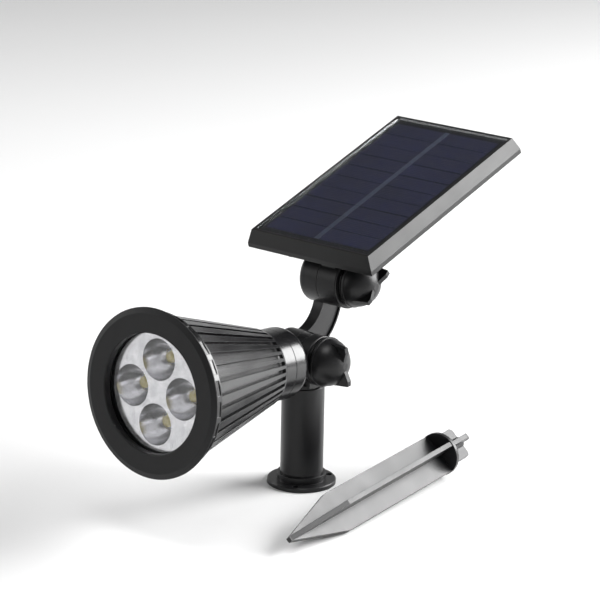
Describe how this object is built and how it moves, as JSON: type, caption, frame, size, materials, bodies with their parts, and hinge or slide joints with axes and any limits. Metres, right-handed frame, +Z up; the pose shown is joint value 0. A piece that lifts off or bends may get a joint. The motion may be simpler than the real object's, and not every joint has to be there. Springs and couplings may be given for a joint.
{
  "type": "solar garden light",
  "caption": "Solar garden spot lamp: ribbed conical lamp head and tilting solar panel held by a bent arm and wing knobs on a short post with a flanged foot, and a loose ground spike.",
  "frame": {"origin": "centre of the base flange's underside, on the ground", "axes": "+Z up along the post, -Y the way the lamp points, +X along the joint bolts towards the knobs"},
  "size_m": [0.1112, 0.2568, 0.1733],
  "materials": {
    "black_plastic": "satin moulded black plastic",
    "bezel_plastic": "satin black, smoother than the body",
    "frame_plastic": "fine-grained satin black plastic",
    "clear_lens": "clear, polished",
    "panel_cover": "clear resin or glass over the cells",
    "bright_reflector": "satin metallised",
    "led_emitter": "clear dome over a yellow phosphor",
    "white_board": "white solder mask on metal core",
    "green_board": "green solder mask",
    "backing_board": "dark laminate",
    "solar_cell": "blue-black silicon with fine fingers",
    "cell_ribbon": "tinned ribbon",
    "zinc_steel": "zinc plated",
    "black_steel": "black oxide",
    "insert_brass": "turned brass",
    "seal_rubber": "matt rubber",
    "cell_wrap": "shrink wrap",
    "holder_plastic": "moulded"
  },
  "bodies": {
    "base": {"base_flange": "black_plastic", "post_tube": "black_plastic"},
    "head": {"post_head": "black_plastic", "lower_washer": "black_steel"},
    "lamp": {"lamp_neck": "black_plastic", "neck_seal": "seal_rubber", "lamp_body": "black_plastic", "lamp_bezel": "bezel_plastic", "lens": "clear_lens", "lens_gasket": "seal_rubber", "reflector": "bright_reflector", "leds": "led_emitter", "led_board": "white_board", "led_board_screws": "zinc_steel", "battery_cell": "cell_wrap", "battery_holder": "holder_plastic", "battery_contacts": "zinc_steel"},
    "arm": {"arm": "black_plastic", "lower_bolt": "zinc_steel", "upper_bolt": "zinc_steel"},
    "panel": {"panel_bracket": "black_plastic", "upper_washer": "black_steel", "bracket_screws": "black_steel", "panel_back": "frame_plastic", "panel_frame": "frame_plastic", "panel_glass": "panel_cover", "solar_cells": "solar_cell", "cell_ribbons": "cell_ribbon", "cell_board": "backing_board", "panel_seal": "seal_rubber", "panel_screws": "black_steel", "control_board": "green_board", "switch_body": "holder_plastic"},
    "lower_knob": {"lower_knob": "black_plastic", "lower_knob_insert": "insert_brass"},
    "upper_knob": {"upper_knob": "black_plastic", "upper_knob_insert": "insert_brass"},
    "button": {"switch_button": "seal_rubber"},
    "spike": {"ground_spike": "black_plastic"}
  },
  "joints": [
    {"name": "post_swivel", "type": "hinge", "parent": "base", "child": "head", "pos_m": [0, 0, 0.05], "axis": [0, 0, 1], "continuous": true},
    {"name": "lamp_tilt", "type": "hinge", "parent": "head", "child": "lamp", "pos_m": [0, 0, 0.0705], "axis": [-1, 0, 0], "range_deg": [-16, 34]},
    {"name": "arm_tilt", "type": "hinge", "parent": "head", "child": "arm", "pos_m": [0, 0, 0.0705], "axis": [1, 0, 0], "range_deg": [-35, 10]},
    {"name": "panel_tilt", "type": "hinge", "parent": "arm", "child": "panel", "pos_m": [0, 0.0246, 0.1086], "axis": [1, 0, 0], "range_deg": [-30, 25]},
    {"name": "lower_knob_turn", "type": "hinge", "parent": "arm", "child": "lower_knob", "pos_m": [0, 0, 0.0705], "axis": [1, 0, 0], "range_deg": [-180, 180]},
    {"name": "upper_knob_turn", "type": "hinge", "parent": "arm", "child": "upper_knob", "pos_m": [0, 0.0246, 0.1086], "axis": [1, 0, 0], "range_deg": [-180, 180]},
    {"name": "switch_press", "type": "slide", "parent": "panel", "child": "button", "axis": [0, -0.3123, 0.95], "range_m": [0, 0.0012], "stiffness_N_per_m": 600, "springref_m": -0.0012},
    {"name": "spike_lift", "type": "slide", "parent": "base", "child": "spike", "axis": [0, 0, 1], "range_m": [0, 0.06]}
  ]
}
